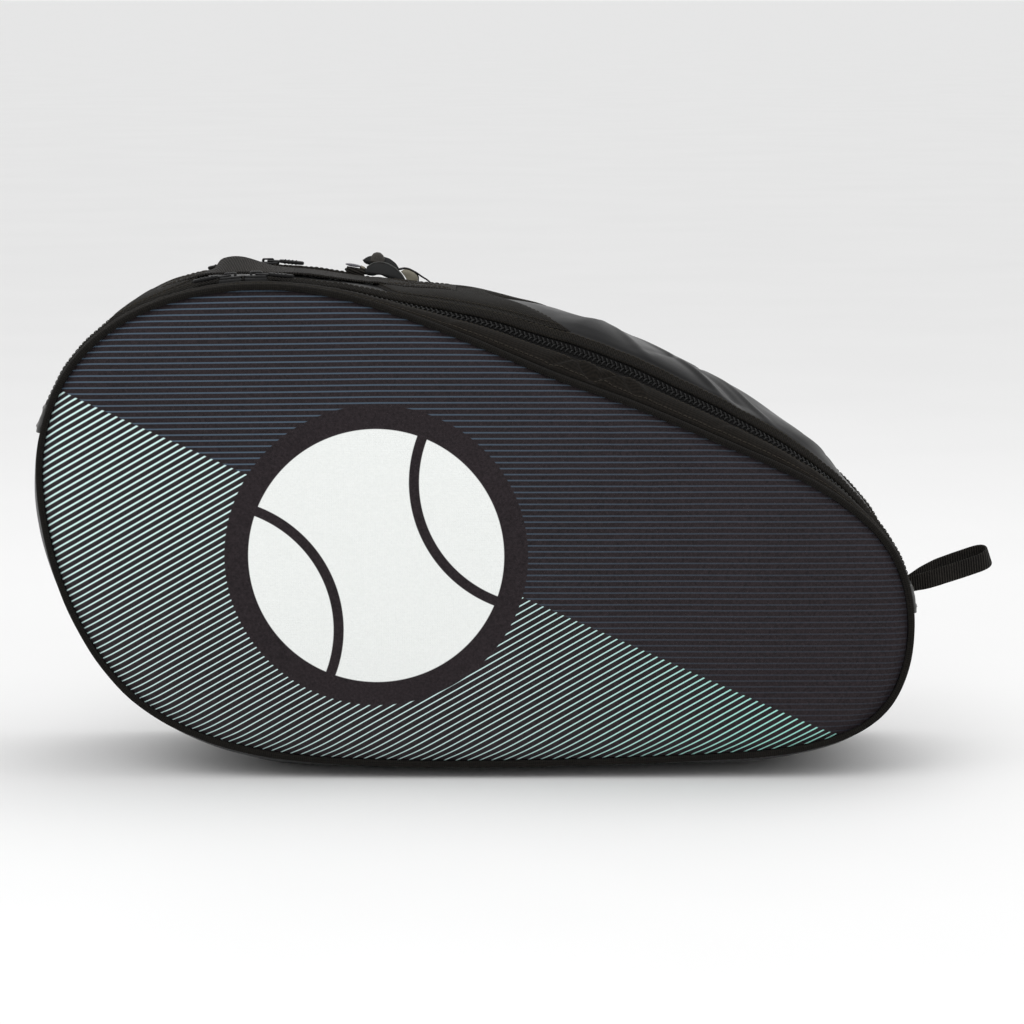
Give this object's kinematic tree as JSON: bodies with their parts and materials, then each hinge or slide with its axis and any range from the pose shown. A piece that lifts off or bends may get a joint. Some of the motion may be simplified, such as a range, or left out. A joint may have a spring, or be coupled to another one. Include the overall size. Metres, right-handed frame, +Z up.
{
  "type": "paddle case",
  "caption": "Teardrop paddle case that stands on its long edge, with zipped fold-down flaps, a webbing carry handle, a grab loop and a hanging hook.",
  "frame": {"origin": "middle of the flat stretch of the base that the bag rests on", "axes": "+X along the bag towards its narrow end and grab loop, -Y out of the printed side, +Z up"},
  "size_m": [0.616, 0.1582, 0.3236],
  "materials": {
    "printed_polyester": "fine weave with printed stripes",
    "plain_polyester": "fine weave",
    "foam": "closed-cell foam",
    "lining": "thin lining",
    "piping_weave": "woven tape over cord",
    "binding_tape": "woven tape",
    "ribbed_polyester": "fine cross rib",
    "coated_fabric": "smooth coated cloth",
    "coated_base": "smooth coated cloth",
    "twill": "twill",
    "webbing": "ribbed webbing",
    "zip_tape": "herringbone tape",
    "zip_coil": "nylon coil",
    "slider_metal": "satin black",
    "pull_rubber": "moulded rubber",
    "hook_plastic": "moulded, satin",
    "hook_knob": "moulded, satin",
    "hook_arm_steel": "black, satin"
  },
  "bodies": {
    "shell": {"front_panel_lower": "printed_polyester", "front_foam_lower": "foam", "front_lining_lower": "lining", "front_piping_lower": "piping_weave", "front_binding_lower": "binding_tape", "front_inner_tape": "zip_tape", "front_inner_coil": "zip_coil", "front_hem": "twill", "rear_panel_lower": "plain_polyester", "rear_foam_lower": "foam", "rear_lining_lower": "lining", "rear_piping_lower": "piping_weave", "rear_binding_lower": "binding_tape", "rear_inner_tape": "zip_tape", "rear_inner_coil": "zip_coil", "rear_hem": "twill", "centre_strip": "coated_fabric", "centre_lining": "lining", "base_gusset": "coated_base", "base_foam": "foam", "base_lining": "lining", "divider": "lining", "end_tab_left": "twill", "end_tab_right": "twill", "handle_patch_left": "twill", "handle_patch_right": "twill", "handle_end_left": "webbing", "handle_end_right": "webbing", "hook_tab": "webbing"},
    "front_flap": {"front_panel_upper": "printed_polyester", "front_foam_upper": "foam", "front_lining_upper": "lining", "front_piping_upper": "piping_weave", "front_binding_upper": "binding_tape", "front_gusset_strip": "ribbed_polyester", "front_outer_tape": "zip_tape", "front_outer_coil": "zip_coil"},
    "rear_flap": {"rear_panel_upper": "plain_polyester", "rear_foam_upper": "foam", "rear_lining_upper": "lining", "rear_piping_upper": "piping_weave", "rear_binding_upper": "binding_tape", "rear_gusset_strip": "ribbed_polyester", "rear_outer_tape": "zip_tape", "rear_outer_coil": "zip_coil"},
    "front_left_slider": {"front_left_slider": "slider_metal"},
    "front_left_pull": {"front_left_pull": "pull_rubber"},
    "front_right_slider": {"front_right_slider": "slider_metal"},
    "front_right_pull": {"front_right_pull": "pull_rubber"},
    "rear_left_slider": {"rear_left_slider": "slider_metal"},
    "rear_left_pull": {"rear_left_pull": "pull_rubber"},
    "rear_right_slider": {"rear_right_slider": "slider_metal"},
    "rear_right_pull": {"rear_right_pull": "pull_rubber"},
    "handle": {"handle_webbing": "webbing"},
    "grab_loop": {"grab_loop": "webbing"},
    "hook": {"hook_body": "hook_plastic", "hook_arm": "hook_arm_steel"},
    "hook_gate": {"hook_gate": "hook_knob"}
  },
  "joints": [
    {"name": "front_flap_fold", "type": "hinge", "parent": "shell", "child": "front_flap", "pos_m": [-0.2685, -0.0796, 0.225], "axis": [0.9785, 0, -0.2062], "range_deg": [0, 55]},
    {"name": "rear_flap_fold", "type": "hinge", "parent": "shell", "child": "rear_flap", "pos_m": [-0.2685, 0.0796, 0.225], "axis": [-0.9785, 0, 0.2062], "range_deg": [0, 55]},
    {"name": "front_left_slider_travel", "type": "hinge", "parent": "shell", "child": "front_left_slider", "pos_m": [-0.13704, -0.057, 0.13461], "axis": [0, -1, 0], "range_deg": [0, 13.2]},
    {"name": "front_right_slider_travel", "type": "hinge", "parent": "shell", "child": "front_right_slider", "pos_m": [-0.13498, -0.057, 0.07309], "axis": [0, 1, 0], "range_deg": [0, 9.61]},
    {"name": "front_left_pull_turn", "type": "hinge", "parent": "front_left_slider", "child": "front_left_pull", "pos_m": [-0.15341, -0.057, 0.31704], "axis": [0, 1, 0], "range_deg": [0, 100]},
    {"name": "front_right_pull_turn", "type": "hinge", "parent": "front_right_slider", "child": "front_right_pull", "pos_m": [-0.13718, -0.057, 0.3179], "axis": [0, -1, 0], "range_deg": [0, 100]},
    {"name": "rear_left_slider_travel", "type": "hinge", "parent": "shell", "child": "rear_left_slider", "pos_m": [-0.13704, 0.057, 0.13461], "axis": [0, -1, 0], "range_deg": [0, 13.2]},
    {"name": "rear_right_slider_travel", "type": "hinge", "parent": "shell", "child": "rear_right_slider", "pos_m": [-0.13498, 0.057, 0.07309], "axis": [0, 1, 0], "range_deg": [0, 9.61]},
    {"name": "rear_left_pull_turn", "type": "hinge", "parent": "rear_left_slider", "child": "rear_left_pull", "pos_m": [-0.15341, 0.057, 0.31704], "axis": [0, 1, 0], "range_deg": [0, 100]},
    {"name": "rear_right_pull_turn", "type": "hinge", "parent": "rear_right_slider", "child": "rear_right_pull", "pos_m": [-0.13718, 0.057, 0.3179], "axis": [0, -1, 0], "range_deg": [0, 100]},
    {"name": "handle_lift", "type": "slide", "parent": "shell", "child": "handle", "axis": [0, 0, 1], "range_m": [0, 0.02]},
    {"name": "grab_loop_bend", "type": "hinge", "parent": "shell", "child": "grab_loop", "pos_m": [0.2823, 0, 0.113], "axis": [0, -1, 0], "range_deg": [-55, 35]},
    {"name": "hook_swing", "type": "hinge", "parent": "shell", "child": "hook", "pos_m": [-0.07605, 0.03, 0.31269], "axis": [0.9865, 0, -0.1639], "range_deg": [-60, 60]},
    {"name": "hook_gate_slide", "type": "slide", "parent": "hook", "child": "hook_gate", "axis": [0.9865, 0, -0.1639], "range_m": [0, 0.005], "stiffness_N_per_m": 20}
  ]
}
